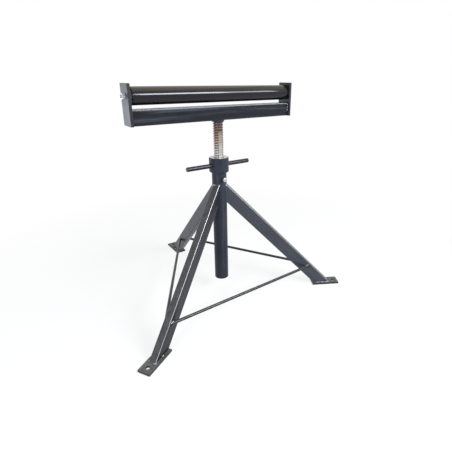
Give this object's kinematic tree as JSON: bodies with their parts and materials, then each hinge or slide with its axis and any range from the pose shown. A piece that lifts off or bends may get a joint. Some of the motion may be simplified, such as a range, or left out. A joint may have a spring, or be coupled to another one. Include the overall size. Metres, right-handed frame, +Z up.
{
  "type": "roller stand",
  "caption": "Tripod roller stand whose long horizontal roller is raised and lowered by a screw jack with a hand-turned round nut.",
  "frame": {"origin": "on the column's axis at floor level, the centre of the circle through the three foot holes", "axes": "+Z up along the column, +X along the roller's axle, -Y towards the guide screw and away from the back leg"},
  "size_m": [0.9828, 0.8512, 0.8991],
  "materials": {
    "frame_paint": "satin anthracite paint over welded steel",
    "roller_finish": "smooth glossy black coat",
    "zinc_plate": "bright zinc plate",
    "bright_steel": "turned bare steel with a film of rust and oil",
    "bearing_steel": "ground bearing steel",
    "bush_steel": "plain turned steel",
    "seal_rubber": "matt moulded rubber"
  },
  "bodies": {
    "stand": {"column_tube": "frame_paint", "leg_back": "frame_paint", "leg_left": "frame_paint", "leg_right": "frame_paint", "foot_back": "frame_paint", "foot_left": "frame_paint", "foot_right": "frame_paint", "brace_front": "frame_paint", "brace_left": "frame_paint", "brace_right": "frame_paint", "guide_bush": "bush_steel", "screw_nut": "frame_paint", "guide_screw": "zinc_plate"},
    "nut": {"adjusting_nut": "frame_paint", "tommy_bars": "frame_paint"},
    "head": {"spindle": "bright_steel", "beam": "frame_paint", "end_plate_left": "frame_paint", "end_plate_right": "frame_paint", "axle": "bright_steel", "axle_nuts": "zinc_plate", "spacers": "zinc_plate", "bearing_inner_rings": "bearing_steel"},
    "roller": {"roller_tube": "roller_finish", "bearing_outer_rings": "bearing_steel", "bearing_seals": "seal_rubber"},
    "cage_left": {"bearing_cage_left": "bearing_steel", "bearing_balls_left": "bearing_steel"},
    "cage_right": {"bearing_cage_right": "bearing_steel", "bearing_balls_right": "bearing_steel"}
  },
  "joints": [
    {"name": "nut_turn", "type": "hinge", "parent": "stand", "child": "nut", "pos_m": [0, 0, 0.5571], "axis": [0, 0, 1], "range_deg": [-8658, 5022]},
    {"name": "head_lift", "type": "slide", "parent": "stand", "child": "head", "axis": [0, 0, 1], "range_m": [-0.1396, 0.2406]},
    {"name": "roller_spin", "type": "hinge", "parent": "head", "child": "roller", "pos_m": [0, 0, 0.8591], "axis": [1, 0, 0], "continuous": true},
    {"name": "cage_left_spin", "type": "hinge", "parent": "head", "child": "cage_left", "pos_m": [0, 0, 0.8591], "axis": [1, 0, 0], "continuous": true},
    {"name": "cage_right_spin", "type": "hinge", "parent": "head", "child": "cage_right", "pos_m": [0, 0, 0.8591], "axis": [1, 0, 0], "continuous": true}
  ],
  "couplings": [
    {"joint": "head_lift", "follows": "nut_turn", "m_per_rad": -0.0015915},
    {"joint": "cage_left_spin", "follows": "roller_spin", "ratio": 0.63229},
    {"joint": "cage_right_spin", "follows": "roller_spin", "ratio": 0.63229}
  ]
}
